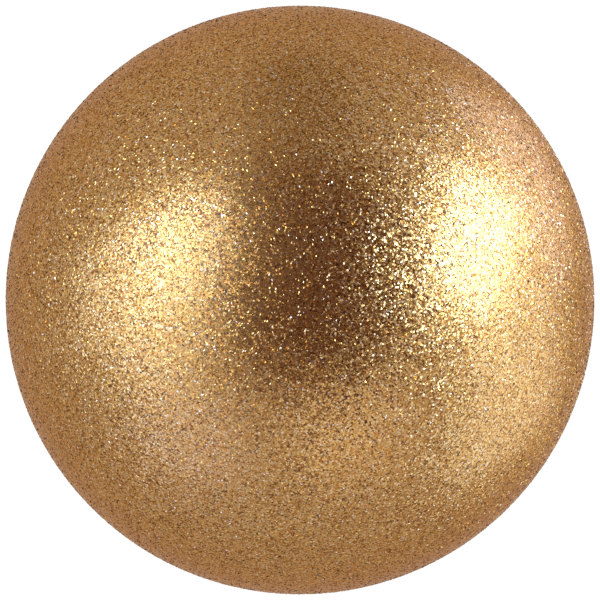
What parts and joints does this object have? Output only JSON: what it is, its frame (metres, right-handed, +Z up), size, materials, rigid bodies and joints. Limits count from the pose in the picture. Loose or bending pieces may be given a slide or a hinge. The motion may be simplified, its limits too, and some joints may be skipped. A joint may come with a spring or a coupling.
{
  "type": "mirror ball",
  "caption": "Hanging ball covered in fine gold glitter, with a crimped crown cap and a sprung wire bail that it turns on.",
  "frame": {"origin": "the hook's seat, under the top of the bail's loop, with the ball hanging below it", "axes": "+Z up, along the axis that the ball hangs and turns on; +X across the two legs of the bail"},
  "size_m": [0.08, 0.08, 0.0969],
  "materials": {
    "polystyrene": "moulded polystyrene, pearl gold, seen only as a ring round the neck and inside the bore",
    "gold_glitter": "dense coat of fine metallised flakes, yellow gold, orange and brown, under clear lacquer",
    "gold_tinplate": "thin stamped tinplate under gold lacquer, bright",
    "brassed_wire": "drawn spring wire, brass plated, bright"
  },
  "bodies": {
    "hanger": {"spring_bail": "brassed_wire"},
    "ball": {"lower_half_shell": "polystyrene", "upper_half_shell": "polystyrene", "glitter_coat": "gold_glitter"},
    "cap": {"crown_cap": "gold_tinplate"}
  },
  "joints": [
    {"name": "ball_spin", "type": "hinge", "parent": "hanger", "child": "ball", "pos_m": [0, 0, 0], "axis": [0, 0, 1], "continuous": true},
    {"name": "cap_lift", "type": "slide", "parent": "hanger", "child": "cap", "axis": [0, 0, 1], "range_m": [0, 0.007]}
  ]
}
